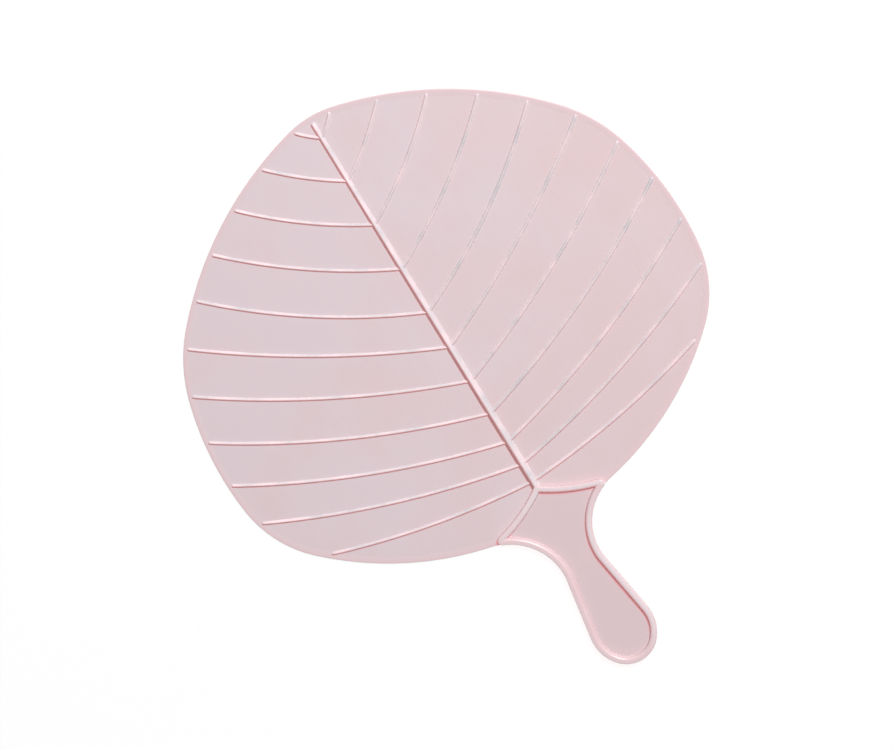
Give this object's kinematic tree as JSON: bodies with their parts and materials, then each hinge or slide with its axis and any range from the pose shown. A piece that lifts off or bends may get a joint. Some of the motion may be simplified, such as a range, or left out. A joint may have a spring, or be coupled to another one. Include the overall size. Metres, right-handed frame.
{
  "type": "hand fan",
  "caption": "Leaf-shaped moulded plastic hand fan: thin rounded blade with a midrib and curved side veins, on a short waisted handle with a raised rim.",
  "frame": {"origin": "middle of the overall length and width, on the flat back face", "axes": "+Y along the midrib towards the leaf tip, +Z out of the ribbed front face, +X to the right of the blade seen from the front"},
  "size_m": [0.3, 0.36, 0.0042],
  "materials": {
    "blade_plastic": "satin pale pink polypropylene, slightly translucent where it is thin",
    "rib_plastic": "satin pale pink polypropylene",
    "handle_plastic": "satin pale pink polypropylene"
  },
  "bodies": {
    "root": {"leaf_panel": "blade_plastic", "edge_rim": "blade_plastic", "midrib": "rib_plastic", "vein_left_01": "rib_plastic", "vein_left_02": "rib_plastic", "vein_left_03": "rib_plastic", "vein_left_04": "rib_plastic", "vein_left_05": "rib_plastic", "vein_left_06": "rib_plastic", "vein_left_07": "rib_plastic", "vein_left_08": "rib_plastic", "vein_left_09": "rib_plastic", "vein_left_10": "rib_plastic", "vein_left_11": "rib_plastic", "vein_right_01": "rib_plastic", "vein_right_02": "rib_plastic", "vein_right_03": "rib_plastic", "vein_right_04": "rib_plastic", "vein_right_05": "rib_plastic", "vein_right_06": "rib_plastic", "vein_right_07": "rib_plastic", "vein_right_08": "rib_plastic", "vein_right_09": "rib_plastic", "vein_right_10": "rib_plastic", "vein_right_11": "rib_plastic", "yoke_left": "handle_plastic", "yoke_right": "handle_plastic", "handle_rim": "handle_plastic", "handle_web": "handle_plastic"}
  },
  "joints": []
}
